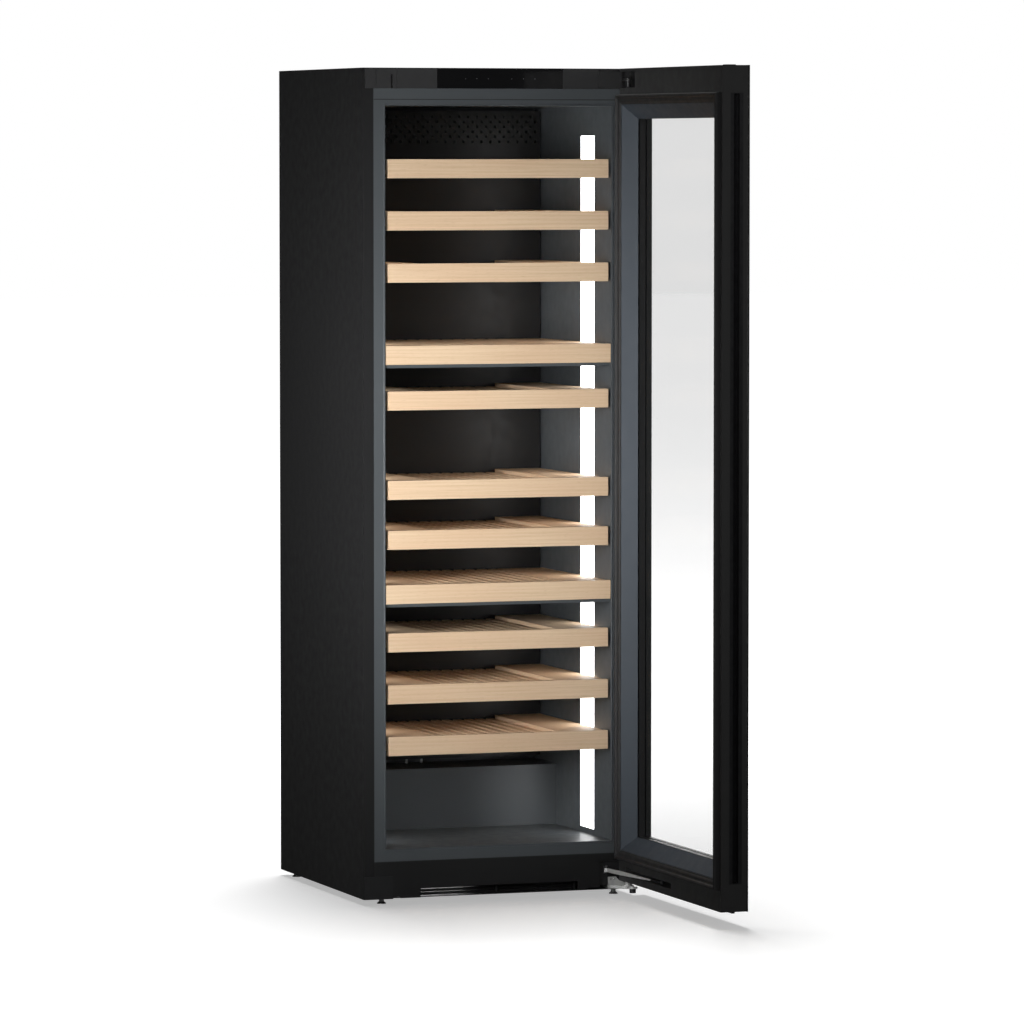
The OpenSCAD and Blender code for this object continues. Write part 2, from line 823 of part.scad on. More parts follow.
module door_end_caps() {
  x0 = -half_w + 4;
  x1 = -half_w + 50;
  color("#161616")
    door_at_rest() {
      block([x0, door_out + 11, door_z0], [x1, door_in - 5, door_z0 + 4]);
      block([x0, door_in - 37, door_z0 - 4], [x0 + 26, door_in - 29, door_z0]);
      block([x0, door_out + 11, cab_h - 4], [x1, door_in - 5, cab_h]);
      block([x0, door_in - 35, cab_h], [x0 + 26, door_in - 13, cab_h + 1.5]);
    }
}

module bush(z0, h, pin_r) {
  translate([hinge_x, hinge_y, z0])
    difference() {
      cylinder(r = pin_r + bush_wall, h = h);
      translate([0, 0, -1]) cylinder(r = pin_r + pin_play, h = h + 2);
    }
}

module hinge_bushes() {
  color("#8f8f8f") door_at_rest() {
    bush(recess_z0 - 20, 20, upper_pin_r);
    bush(door_z0, 24, lower_pin_r);
  }
}

module closer_arm() {
  color("#cfcfcf")
    translate([arm_x, arm_y, arm_z])
      rotate([0, 0, arm_angle + door_rest])
        difference() {
          union() {
            cylinder(r = arm_eye_r, h = arm_h);
            translate([0, -arm_t / 2, 0]) cube([arm_l, arm_t, arm_h]);
            translate([arm_l, 0, 0]) cylinder(r = 4, h = arm_h);
          }
          translate([0, 0, -1]) cylinder(r = arm_pin_r + pin_play, h = arm_h + 2);
        }
}

left_side_panel();
right_side_panel();
top_panel();
back_panel();
base_tray();
foam_insulation();
inner_liner();
front_crossbar();
control_fascia();
control_display();
control_board();
hinge_cover();
light_columns();
air_duct_cover();
evaporator();
evaporator_fan();
plinth_panel();
plinth_corner();
vent_grille();
closer_housing();
levelling_feet();
upper_hinge_bracket();
lower_hinge_bracket();
hinge_stop_bolt();
fixed_shelves();
zone_dividers();
shelf_channels();
compressor();
condenser();
condenser_fan();
evaporation_tray();
power_inlet();
door_frame();
door_slope_frame();
door_gasket();
door_front_glass();
door_inner_panes();
glazing_spacers();
door_grip_profile();
door_end_caps();
hinge_bushes();
closer_arm();
for (k = [1 : len(SLIDING)]) {
  sliding_shelf(SLIDING[k - 1]);
  shelf_runners(SLIDING[k - 1]);
}
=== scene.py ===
"""Free-standing wine cooler with its glass door open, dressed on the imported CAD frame."""

import json
import math

import bmesh
import bpy
from mathutils import Matrix, Vector


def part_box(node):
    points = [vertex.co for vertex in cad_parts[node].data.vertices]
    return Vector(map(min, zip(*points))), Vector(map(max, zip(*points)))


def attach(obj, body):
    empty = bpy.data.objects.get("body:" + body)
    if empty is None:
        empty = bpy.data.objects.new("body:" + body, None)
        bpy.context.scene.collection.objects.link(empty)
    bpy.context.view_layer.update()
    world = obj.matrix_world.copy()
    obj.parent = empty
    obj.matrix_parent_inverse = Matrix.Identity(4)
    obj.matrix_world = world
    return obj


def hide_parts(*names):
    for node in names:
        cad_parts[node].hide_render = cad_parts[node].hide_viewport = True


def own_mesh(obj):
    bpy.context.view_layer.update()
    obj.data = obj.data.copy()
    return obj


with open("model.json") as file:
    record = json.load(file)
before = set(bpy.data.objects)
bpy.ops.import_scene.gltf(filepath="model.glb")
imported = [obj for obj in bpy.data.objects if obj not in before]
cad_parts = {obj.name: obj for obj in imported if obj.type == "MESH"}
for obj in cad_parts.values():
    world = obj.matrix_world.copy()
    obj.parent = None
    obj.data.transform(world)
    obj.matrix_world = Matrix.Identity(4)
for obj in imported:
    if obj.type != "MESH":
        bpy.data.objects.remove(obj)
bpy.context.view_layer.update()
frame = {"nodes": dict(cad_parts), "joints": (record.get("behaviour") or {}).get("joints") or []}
NODES = frame["nodes"]
MM = 0.001
LIGHT_STRENGTH = 4.0
# where the shelves' front boards end and their decks start
BOARD_BACK = 0.0208
# the liner's inner walls, floor and ceiling
LINER_WALL, LINER_FLOOR, LINER_CEILING = 0.293, 0.138, 1.952
# the levelling feet's axes
FEET = [(-0.292, 0.04), (0.314, 0.04), (-0.322, 0.64), (0.322, 0.64)]


# ---------------------------------------------------------------- shader building

class Shade:
    """One procedural material with a Principled shader, in object coordinates (metres)."""

    def __init__(self, name, color, roughness, **sockets):
        self.mat = bpy.data.materials.new(name)
        self.mat.use_nodes = True
        self.tree = self.mat.node_tree
        self.bsdf = self.tree.nodes["Principled BSDF"]
        self.coords = self.tree.nodes.new("ShaderNodeTexCoord").outputs["Object"]
        self.set("Base Color", (*color, 1.0))
        self.set("Roughness", roughness)
        for socket, value in sockets.items():
            self.set(socket.replace("_", " "), value)
        self.height = None

    def set(self, socket, value):
        self.bsdf.inputs[socket].default_value = value

    def add(self, kind, **values):
        node = self.tree.nodes.new("ShaderNode" + kind)
        for key, value in values.items():
            if key in node.inputs:
                node.inputs[key].default_value = value
            else:
                setattr(node, key, value)
        return node

    def link(self, out, socket):
        self.tree.links.new(out, socket)

    def stretched(self, scale, source=None):
        node = self.add("Mapping")
        node.inputs["Scale"].default_value = scale
        self.link(source or self.coords, node.inputs["Vector"])
        return node.outputs["Vector"]

    def noise(self, scale, stretch=(1, 1, 1), detail=3.0, source=None):
        node = self.add("TexNoise")
        node.inputs["Scale"].default_value = scale
        node.inputs["Detail"].default_value = detail
        self.link(self.stretched(stretch, source), node.inputs["Vector"])
        return node.outputs["Fac"]

    def ramp(self, fac, stops):
        node = self.add("ValToRGB")
        marks = node.color_ramp.elements
        while len(marks) < len(stops):
            marks.new(0.5)
        for mark, (place, color) in zip(marks, stops):
            mark.position = place
            mark.color = (*color, 1.0)
        self.link(fac, node.inputs["Fac"])
        return node.outputs["Color"]

    def spread(self, fac, low, high, start=0.3, end=0.7):
        node = self.add("MapRange")
        for key, value in (("From Min", start), ("From Max", end), ("To Min", low), ("To Max", high)):
            node.inputs[key].default_value = value
        self.link(fac, node.inputs["Value"])
        return node.outputs["Result"]

    def math(self, operation, a, b=None):
        node = self.add("Math", operation=operation)
        for slot, value in enumerate((a, b)):
            if value is None:
                continue
            if isinstance(value, (int, float)):
                node.inputs[slot].default_value = value
            else:
                self.link(value, node.inputs[slot])
        return node.outputs["Value"]

    def mix(self, fac, a, b):
        node = self.add("Mix", data_type="RGBA")
        for slot, value in ((0, fac), (6, a), (7, b)):
            if isinstance(value, (int, float)):
                node.inputs[slot].default_value = value
            elif isinstance(value, tuple):
                node.inputs[slot].default_value = (*value, 1.0)
            else:
                self.link(value, node.inputs[slot])
        return node.outputs[2]

    def color(self, out):
        self.link(out, self.bsdf.inputs["Base Color"])

    def rough(self, out):
        self.link(out, self.bsdf.inputs["Roughness"])

    def bump(self, out, depth, strength=1.0):
        """Relief of the given depth in metres, laid over what is there."""
        node = self.add("Bump")
        node.inputs["Strength"].default_value = strength
        node.inputs["Distance"].default_value = depth
        self.link(out, node.inputs["Height"])
        if self.height is not None:
            self.link(self.height, node.inputs["Normal"])
        self.height = node.outputs["Normal"]
        self.link(self.height, self.bsdf.inputs["Normal"])
        return self


def moulded(name, color, roughness, grain=0.00004, scale=1500.0, drift=0.12, **sockets):
    """Moulded or painted skin: fine grain, cloudy colour drift and uneven gloss."""
    s = Shade(name, color, roughness, **sockets)
    cloud = s.noise(2.5, detail=4.0)
    dark = tuple(c * (1 - drift) for c in color)
    light = tuple(min(1.0, c * (1 + drift)) for c in color)
    s.color(s.mix(s.spread(cloud, 0.0, 1.0), dark, light))
    s.rough(s.spread(s.noise(40.0, detail=4.0), roughness - 0.04, roughness + 0.05))
    return s.bump(s.noise(scale, detail=2.0), grain, 0.5)


def brushed(name, color, roughness, along, **sockets):
    """Bright metal with fine marks along one axis and faint handling wear."""
    s = Shade(name, color, roughness, Metallic=1.0, **sockets)
    stretch = tuple(0.03 if axis == along else 1.0 for axis in range(3))
    streak = s.noise(1800.0, stretch, 2.0)
    worn = s.noise(60.0, detail=5.0)
    s.color(s.mix(s.spread(worn, 0.0, 1.0), tuple(c * 0.82 for c in color), color))
    s.rough(s.spread(streak, roughness - 0.07, roughness + 0.1))
    return s.bump(streak, 0.00003, 0.4)


def timber(name):
    """Pale oiled beech. The front boards' grain runs across the cabinet, the deck's runs back."""
    s = Shade(name, (0.72, 0.52, 0.31), 0.5, Specular_IOR_Level=0.35)
    place = s.add("SeparateXYZ")
    s.link(s.coords, place.inputs["Vector"])
    # the deck starts behind the front board, and there the grain is turned to run back
    behind = s.math("GREATER_THAN", place.outputs["Y"], BOARD_BACK)
    turned = s.add("CombineXYZ")
    s.link(place.outputs["Y"], turned.inputs["X"])
    s.link(place.outputs["X"], turned.inputs["Y"])
    s.link(place.outputs["Z"], turned.inputs["Z"])
    pick = s.add("Mix", data_type="VECTOR")
    s.link(behind, pick.inputs["Factor"])
    s.link(s.coords, pick.inputs[4])
    s.link(turned.outputs["Vector"], pick.inputs[5])
    grain = pick.outputs[1]
    # slow bands of growth along the board, gently bent by a broad noise
    rings = s.add("TexWave", wave_type="BANDS", bands_direction="Z")
    rings.inputs["Scale"].default_value = 34.0
    rings.inputs["Distortion"].default_value = 5.0
    rings.inputs["Detail"].default_value = 2.0
    rings.inputs["Detail Scale"].default_value = 0.9
    s.link(s.stretched((0.05, 0.8, 1.0), grain), rings.inputs["Vector"])
    streaks = s.noise(520.0, (0.012, 1.0, 1.0), 5.0, grain)
    fibres = s.noise(2200.0, (0.01, 1.0, 1.0), 3.0, grain)
    band = s.math("ADD", s.math("MULTIPLY", rings.outputs["Fac"], 0.12),
                  s.math("MULTIPLY", streaks, 0.88))
    tone = s.ramp(band, [(0.28, (0.60, 0.43, 0.275)), (0.48, (0.68, 0.505, 0.335)),
                         (0.72, (0.735, 0.56, 0.385))])
    # each shelf is cut from another board: its tone follows its height
    board = s.noise(9.0, (0.3, 0.05, 1.0), 1.0)
    tone = s.mix(s.spread(board, 0.0, 0.5, 0.35, 0.65), tone, (0.66, 0.455, 0.295))
    # short darker rays and pores
    rays = s.noise(1100.0, (0.05, 1.0, 1.0), 1.0, grain)
    s.color(s.mix(s.spread(rays, 0.0, 0.4, 0.6, 0.78), tone, (0.42, 0.27, 0.15)))
    s.rough(s.spread(fibres, 0.45, 0.62))
    s.bump(band, 0.00015, 0.25)
    return s.bump(fibres, 0.0001, 0.4)


def glazing(name, color, alpha):
    """A pane seen as a thin tinted sheet, with a trace of uneven polish."""
    s = Shade(name, color, 0.03, Alpha=alpha, IOR=1.5)
    s.rough(s.spread(s.noise(6.0, detail=2.0), 0.02, 0.05))
    s.color(s.mix(s.spread(s.noise(3.0), 0.0, 1.0), tuple(c * 0.96 for c in color), color))
    return s


def lit(name):
    """Opal cover over a ladder of lamps, a little brighter at each lamp."""
    s = Shade(name, (0.95, 0.95, 0.92), 0.35)
    wave = s.add("TexWave", wave_type="BANDS", bands_direction="Z")
    wave.inputs["Scale"].default_value = 9.0
    s.link(s.coords, wave.inputs["Vector"])
    glow = s.mix(wave.outputs["Fac"], (0.93, 0.96, 1.0), (1.0, 1.0, 1.0))
    s.link(glow, s.bsdf.inputs["Emission Color"])
    s.set("Emission Strength", LIGHT_STRENGTH)
    return s


COATED = moulded("coated_sheet", (0.0175, 0.0175, 0.018), 0.36, 0.00001, 1100.0, 0.04,
                 Specular_IOR_Level=0.2)
STRIP = moulded("coated_dark_grey", (0.047, 0.047, 0.048), 0.42, 0.00001, 1100.0, 0.04)
LINER = moulded("liner_grey", (0.069, 0.077, 0.083), 0.42, 0.00003, 900.0, 0.05)
FASCIA = moulded("fascia_grey", (0.034, 0.034, 0.035), 0.36, 0.00002, 1800.0)
DISPLAY = moulded("display_black", (0.004, 0.004, 0.0045), 0.08, 0.000004, 300.0,
                  Coat_Weight=0.6, Coat_Roughness=0.03)
BLACK = moulded("black_plastic", (0.012, 0.012, 0.0125), 0.4)
DARK = moulded("dark_plastic", (0.016, 0.016, 0.017), 0.42)
DUCT = moulded("duct_black", (0.012, 0.012, 0.0125), 0.38, 0.00005, 700.0)
SPACER = moulded("spacer_black", (0.006, 0.006, 0.006), 0.55, 0.00002, 1600.0)
DOOR_BLACK = moulded("door_black", (0.025, 0.025, 0.025), 0.42, 0.00001, 1600.0, 0.05)
ENAMEL = moulded("black_enamel", (0.002, 0.002, 0.002), 0.4, 0.000005, 900.0)
SLOPE = moulded("slope_grey", (0.045, 0.055, 0.068), 0.58, 0.00003, 1300.0, 0.05,
                Specular_IOR_Level=0.25)
RAIL = moulded("channel_grey", (0.05, 0.051, 0.053), 0.4)
RUBBER = moulded("gasket_rubber", (0.010, 0.010, 0.0105), 0.62, 0.00005, 900.0)
FOAM = moulded("insulation_foam", (0.62, 0.55, 0.36), 0.9, 0.0012, 160.0)
BOARD = moulded("circuit_board", (0.02, 0.13, 0.05), 0.4)
CASTING = moulded("compressor_black", (0.010, 0.010, 0.010), 0.36, 0.0002, 240.0)
ANODISED = brushed("dark_aluminium", (0.06, 0.06, 0.063), 0.36, 2)
GALVANISED = brushed("galvanised", (0.74, 0.74, 0.73), 0.42, 1)
GALVANISED.set("Metallic", 0.45)
ALUMINIUM = brushed("bare_aluminium", (0.62, 0.63, 0.65), 0.36, 0)
ZINC = brushed("zinc_plate", (0.72, 0.72, 0.71), 0.26, 1)
RUNNER = brushed("runner_steel", (0.46, 0.46, 0.47), 0.34, 1)
BUSH = moulded("bush_grey", (0.26, 0.26, 0.26), 0.45)
BEECH = timber("beech")
FRONT_GLASS = glazing("front_glass", (0.055, 0.057, 0.06), 0.10)
CLEAR_GLASS = glazing("clear_glass", (0.05, 0.054, 0.056), 0.03)
LIGHT = lit("light_cover")

LOOKS = {
    "left_side_panel": COATED, "right_side_panel": COATED, "top_panel": COATED,
    "back_panel": STRIP, "base_tray": DARK, "foam_insulation": FOAM, "inner_liner": LINER,
    "front_crossbar": LINER, "control_fascia": FASCIA, "control_display": DISPLAY,
    "control_board": BOARD, "hinge_cover": FASCIA, "light_columns": LIGHT,
    "air_duct_cover": DUCT, "evaporator": ALUMINIUM, "evaporator_fan": BLACK,
    "plinth_panel": BLACK, "plinth_corner": DARK, "vent_grille": BLACK,
    "closer_housing": DARK, "levelling_feet": ZINC, "upper_hinge_bracket": DARK,
    "lower_hinge_bracket": GALVANISED, "hinge_stop_bolt": BLACK, "zone_dividers": LINER,
    "shelf_channels": RAIL, "compressor": CASTING, "condenser": DARK,
    "condenser_fan": BLACK, "evaporation_tray": DARK, "power_inlet": BLACK,
    "door_frame": DOOR_BLACK, "door_slope_frame": SLOPE, "door_gasket": RUBBER,
    "door_front_glass": FRONT_GLASS, "door_inner_panes": CLEAR_GLASS,
    "glazing_spacers": SPACER, "door_grip_profile": ANODISED, "door_end_caps": BLACK,
    "hinge_bushes": BUSH, "closer_arm": GALVANISED, "fixed_shelves": BEECH,
}
LOOKS.update({name: BEECH for name in NODES if name.startswith("sliding_shelf")})
LOOKS.update({name: RUNNER for name in NODES if name.startswith("shelf_runners")})

# How far each node's sharp edges are eased, in metres
EASED = {
    "control_fascia": 0.0012, "hinge_cover": 0.0015, "inner_liner": 0.0012,
    "front_crossbar": 0.0006, "plinth_panel": 0.001, "plinth_corner": 0.002,
    "door_frame": 0.0015, "door_slope_frame": 0.0008, "door_end_caps": 0.0012,
    "closer_housing": 0.002, "lower_hinge_bracket": 0.0006, "closer_arm": 0.0006,
    "left_side_panel": 0.0006, "right_side_panel": 0.0006, "top_panel": 0.0005,
    "fixed_shelves": 0.0015, "zone_dividers": 0.001, "evaporation_tray": 0.001,
    "power_inlet": 0.0008, "door_front_glass": 0.0006,
}
EASED.update({name: 0.0015 for name in NODES if name.startswith("sliding_shelf")})


def dress(node, look, ease):
    obj = NODES[node]
    obj.data.materials.clear()
    obj.data.materials.append(look.mat)
    if ease:
        bevel = obj.modifiers.new("eased_edges", "BEVEL")
        bevel.width = ease
        bevel.segments = 2
        bevel.limit_method = "ANGLE"
        bevel.angle_limit = math.radians(40)
        bevel.harden_normals = False
    obj.data.polygons.foreach_set("use_smooth", [False] * len(obj.data.polygons))


for node, look in LOOKS.items():
    dress(node, look, EASED.get(node))


# ---------------------------------------------------------------- pieces in mesh code

def piece(name, build, look, body, smooth=False):
    """A new mesh object: build(bm) fills it, and it rides on a CAD body."""
    bm = bmesh.new()
    build(bm)
    bmesh.ops.remove_doubles(bm, verts=bm.verts, dist=1e-6)
    bmesh.ops.recalc_face_normals(bm, faces=bm.faces)
    mesh = bpy.data.meshes.new(name)
    bm.to_mesh(mesh)
    bm.free()
    mesh.materials.append(look.mat)
    mesh.polygons.foreach_set("use_smooth", [smooth] * len(mesh.polygons))
    obj = bpy.data.objects.new(name, mesh)
    bpy.context.scene.collection.objects.link(obj)
    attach(obj, body)
    return obj


def facing(axis):
    """Rotation that turns +Z to the given axis."""
    return Vector(axis).to_track_quat("Z", "Y").to_matrix().to_4x4()


def lathe(bm, outline, place, sides=32):
    """A closed turned solid. outline holds (radius, height); a radius may depend on the angle."""
    rings = []
    for radius, height in outline:
        ring = []
        for i in range(sides):
            turn = 2 * math.pi * i / sides
            r = radius(turn) if callable(radius) else radius
            ring.append(bm.verts.new(place @ Vector((r * math.cos(turn), r * math.sin(turn), height))))
        rings.append(ring)
    for low, high in zip(rings, rings[1:]):
        for i in range(sides):
            j = (i + 1) % sides
            bm.faces.new((low[i], low[j], high[j], high[i]))
    bm.faces.new(rings[0][::-1])
    bm.faces.new(rings[-1])


def screw(bm, at, axis, radius):
    """A domed screw head with a six-sided socket."""
    def socket(turn):
        wedge = math.pi / 3
        return 0.5 * radius * math.cos(wedge / 2) / math.cos(turn % wedge - wedge / 2)
    outline = [(radius, -0.2 * radius), (radius, 0.25 * radius), (0.88 * radius, 0.45 * radius),
               (0.65 * radius, 0.55 * radius), (socket, 0.57 * radius), (socket, 0.2 * radius)]
    lathe(bm, outline, Matrix.Translation(at) @ facing(axis), 36)


def bar(bm, low, high, ease=0.0):
    """A box between two corners with eased edges."""
    low, high = Vector(low), Vector(high)
    made = bmesh.ops.create_cube(bm, size=1.0)
    size = high - low
    for vert in made["verts"]:
        vert.co = Vector((vert.co.x * size.x, vert.co.y * size.y, vert.co.z * size.z)) + (low + high) / 2
    if ease:
        edges = {edge for vert in made["verts"] for edge in vert.link_edges}
        bmesh.ops.bevel(bm, geom=list(edges), offset=ease, segments=2, affect="EDGES", profile=0.6)


def mitred(bm, profile, x0, x1, z0, z1, turn):
    """Sweeps a closed profile of (inset, y) points round an upright rectangle."""
    corners = []
    for left, low in ((True, True), (False, True), (False, False), (True, False)):
        corners.append([bm.verts.new(turn @ Vector((x0 + inset if left else x1 - inset, y,
                                                    z0 + inset if low else z1 - inset)))
                        for inset, y in profile])
    for k in range(4):
        here, there = corners[k], corners[(k + 1) % 4]
        for i in range(len(profile)):
            j = (i + 1) % len(profile)
            bm.faces.new((here[i], here[j], there[j], there[i]))


# The closed door's pieces are drawn closed and turned to the rest pose about the hinge
def joint_place(name):
    return Vector(next(joint["pos_m"] for joint in frame["joints"] if joint["name"] == name))


HINGE = joint_place("door_swing")
TURN = (Matrix.Translation(HINGE) @ Matrix.Rotation(math.radians(90), 4, "Z")
        @ Matrix.Translation(-HINGE))


def closed_box(node):
    """A door node's corners with the door closed."""
    back = TURN.inverted()
    ends = [back @ Vector(corner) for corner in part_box(node)]
    return [min(a, b) for a, b in zip(*ends)], [max(a, b) for a, b in zip(*ends)]


def build_gasket(bm):
    low, high = closed_box("door_gasket")
    base = low[1]
    width = high[0] - closed_box("door_slope_frame")[1][0]
    crown = [(0.0, 0.0), (0.2, 4.0), (1.0, 11.0), (2.0, 14.2), (4.0, 15.0), (7.5, 14.6), (9.0, 13.2),
             (10.2, 10.4), (12.6, 9.2), (15.5, 9.6), (18.0, 9.4), (20.5, 8.2), (22.2, 6.6), (24.9, 6.0)]
    profile = [(min(inset * MM, width), base + rise * MM) for inset, rise in crown] + [(width, base)]
    mitred(bm, profile, low[0], high[0], low[2], high[2], TURN)


gasket = piece("gasket_profile", build_gasket, RUBBER, "door")
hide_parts("door_gasket")
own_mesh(gasket)


# Liner: a rounded bead round the opening, and a sealing strip under the crossbar
def build_liner_bead(bm):
    side = LINER_WALL + 5 * MM
    low, high = LINER_FLOOR - 5 * MM, LINER_CEILING + 5 * MM
    profile = [(0.0, 0.2 * MM), (0.4 * MM, -0.5 * MM), (1.6 * MM, -1.1 * MM), (3.2 * MM, -1.1 * MM),
               (4.5 * MM, -0.5 * MM), (5.0 * MM, 0.6 * MM), (5.0 * MM, 1.4 * MM), (4.0 * MM, 1.4 * MM)]
    mitred(bm, profile, -side, side, low, high, Matrix.Identity(4))


piece("liner_bead", build_liner_bead, LINER, "cabinet", True)


def build_crossbar_seal(bm):
    low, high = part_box("front_crossbar")
    bar(bm, (low[0] + MM, -0.1 * MM, low[2] - 0.5 * MM), (high[0] - MM, 1.2 * MM, low[2] + 1.3 * MM))


piece("crossbar_seal", build_crossbar_seal, RUBBER, "cabinet")


# Soft-close arm: a tapered blade with an eye, and a black shoe that runs in the door's track
def turned(bm, loop, place, sides=40):
    """A closed loop of (radius, height) points turned about the axis."""
    rings = [[bm.verts.new(place @ Vector((r * math.cos(a), r * math.sin(a), z))) for r, z in loop]
             for a in (2 * math.pi * i / sides for i in range(sides))]
    for i in range(sides):
        here, there = rings[i], rings[(i + 1) % sides]
        for k in range(len(loop)):
            n = (k + 1) % len(loop)
            bm.faces.new((here[k], there[k], there[n], here[n]))


def lofted(bm, stations, place):
    """A blade through stations of (distance, half thickness, lower edge, upper edge)."""
    rings = []
    for along, half, low, high in stations:
        ease = min(0.35 * half, 0.2 * (high - low))
        outline = [(-half, low + ease), (-half + ease, low), (half - ease, low), (half, low + ease),
                   (half, high - ease), (half - ease, high), (-half + ease, high), (-half, high - ease)]
        rings.append([bm.verts.new(place @ Vector((along, y, z))) for y, z in outline])
    for here, there in zip(rings, rings[1:]):
        for k in range(8):
            n = (k + 1) % 8
            bm.faces.new((here[k], here[n], there[n], there[k]))
    bm.faces.new(rings[0][::-1])
    bm.faces.new(rings[-1])


# the arm's direction from its pivot when the door is open
ARM_TURN = math.radians(277.5)
ARM_PIVOT = joint_place("closer_swing")
ARM_PLACE = (Matrix.Translation((ARM_PIVOT.x, ARM_PIVOT.y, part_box("closer_arm")[0][2]))
             @ Matrix.Rotation(ARM_TURN, 4, "Z"))


def build_arm(bm):
    turned(bm, [(3.1 * MM, 0.3 * MM), (5.2 * MM, 0.0), (6.0 * MM, 0.8 * MM), (6.0 * MM, 9.2 * MM),
                (5.2 * MM, 10.0 * MM), (3.1 * MM, 9.7 * MM)], ARM_PLACE)
    lofted(bm, [(5.2 * MM, 2.0 * MM, 0.4 * MM, 9.6 * MM), (20 * MM, 2.0 * MM, 0.0, 10.0 * MM),
                (70 * MM, 2.0 * MM, 0.0, 10.0 * MM), (130 * MM, 2.0 * MM, 0.6 * MM, 9.0 * MM),
                (190 * MM, 1.9 * MM, 1.6 * MM, 7.6 * MM), (232 * MM, 1.7 * MM, 2.8 * MM, 6.2 * MM)],
           ARM_PLACE)


def build_shoe(bm):
    lofted(bm, [(231 * MM, 1.2 * MM, 3.0 * MM, 6.0 * MM), (240 * MM, 1.2 * MM, 3.0 * MM, 6.0 * MM),
                (288 * MM, 1.2 * MM, 3.0 * MM, 6.0 * MM)], ARM_PLACE)
    lathe(bm, [(3.4 * MM, 0.5 * MM), (4.0 * MM, 1.2 * MM), (4.0 * MM, 8.8 * MM), (3.4 * MM, 9.5 * MM)],
          ARM_PLACE @ Matrix.Translation((290 * MM, 0, 0)), 28)


blade = piece("closer_blade", build_arm, GALVANISED, "closer_arm")
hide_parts("closer_arm")
piece("closer_shoe", build_shoe, BLACK, "closer_arm")


# Front glass: a black enamel band closes its edges all round
def build_edge_band(bm):
    low, high = closed_box("door_front_glass")
    skin = 0.25 * MM
    front, back = low[1] + 0.5 * MM, high[1]
    profile = [(0.0, front), (-skin, front + skin), (-skin, back - skin), (0.0, back)]
    mitred(bm, profile, low[0], high[0], low[2], high[2], TURN)


piece("glass_edge_band", build_edge_band, ENAMEL, "door")


# Screws: the lower hinge bracket's leaf and foot, and the soft-close arm's pivot
LEAF_SCREW_Z, FOOT_SCREW_Z, PIVOT_SCREW_Z = 0.0425, 0.0225, 0.0744
# the leaf's screws are sunk this far, to stay clear of the closed door
LEAF_SCREW_SUNK = 0.9 * MM


def build_hinge_screws(bm):
    leaf = HINGE.y + 18 * MM
    for x in (291 * MM, 300 * MM):
        screw(bm, (x, leaf + LEAF_SCREW_SUNK, LEAF_SCREW_Z), (0, -1, 0), 2.6 * MM)
    for x in (294 * MM, 338 * MM):
        screw(bm, (x, leaf, FOOT_SCREW_Z), (0, -1, 0), 2.2 * MM)
    screw(bm, (ARM_PIVOT.x, ARM_PIVOT.y, PIVOT_SCREW_Z), (0, 0, 1), 3.6 * MM)


piece("hinge_screws", build_hinge_screws, ZINC, "cabinet", True)


def build_back_screws(bm):
    low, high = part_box("back_panel")
    inset = 12 * MM
    rows, columns = 7, 3
    for i in range(rows):
        z = low[2] + inset + (high[2] - low[2] - 2 * inset) * i / (rows - 1)
        for x in (low[0] + inset, high[0] - inset):
            screw(bm, (x, high[1], z), (0, 1, 0), 3.8 * MM)
    for i in range(1, columns + 1):
        x = low[0] + (high[0] - low[0]) * i / (columns + 1)
        for z in (low[2] + inset, high[2] - inset):
            screw(bm, (x, high[1], z), (0, 1, 0), 3.8 * MM)


piece("back_screws", build_back_screws, ZINC, "cabinet", True)


# Back panel: a raised stiffening bead round each of its two halves
def build_back_bead(bm):
    low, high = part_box("back_panel")
    inset = 45 * MM
    y = high[1] - 0.4 * MM
    profile = [(0.0, y), (3 * MM, y + 1.6 * MM), (9 * MM, y + 2.2 * MM), (15 * MM, y + 1.6 * MM),
               (18 * MM, y)]
    flat = Matrix.Identity(4)
    middle = (low[2] + high[2]) / 2
    for z0, z1 in ((low[2] + inset, middle - inset / 2), (middle + inset / 2, high[2] - inset)):
        mitred(bm, profile, low[0] + inset, high[0] - inset, z0, z1, flat)


piece("back_beads", build_back_bead, STRIP, "cabinet", True)


# Shelf slides: a row of steel balls shows in each runner's groove
def build_balls(bm, node):
    low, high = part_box(node)
    rise = (low[2] + high[2]) / 2
    count = 10
    for side in (low[0], high[0]):
        for i in range(count):
            y = low[1] + 0.03 + (high[1] - low[1] - 0.06) * i / (count - 1)
            for z in (rise - 5.5 * MM, rise + 5.5 * MM):
                at = Vector((side - math.copysign(1.5 * MM, side), y, z))
                bmesh.ops.create_icosphere(bm, subdivisions=2, radius=1.9 * MM,
                                           matrix=Matrix.Translation(at))


for number in range(1, 10):
    piece("slide_balls_%d" % number, lambda bm, n=number: build_balls(bm, "shelf_runners_%d" % n),
          ZINC, "shelf_%d" % number, True)


# Light columns: a slim frame round each cover
def build_light_frames(bm):
    low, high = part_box("light_columns")
    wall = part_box("air_duct_cover")[1][0] + 3 * MM
    rim = 2.2 * MM
    proud = 0.5 * MM
    turn = Matrix.Rotation(math.radians(90), 4, "Z")
    # the frame is drawn in the wall's plane: inset runs round it, and y is its height
    profile = [(-rim, 0.0), (-rim, proud), (-0.3 * MM, proud),
               (0.3 * MM, 0.5 * proud), (0.3 * MM, 0.0)]
    for side in (-1, 1):
        if side > 0:
            place = Matrix.Translation((wall, 0, 0)) @ turn
            mitred(bm, profile, low[1], high[1], low[2], high[2], place)
        else:
            place = Matrix.Translation((-wall, 0, 0)) @ Matrix.Scale(-1, 4, (1, 0, 0)) @ turn
            mitred(bm, profile, low[1], high[1], low[2], high[2], place)


piece("light_frames", build_light_frames, RAIL, "cabinet")


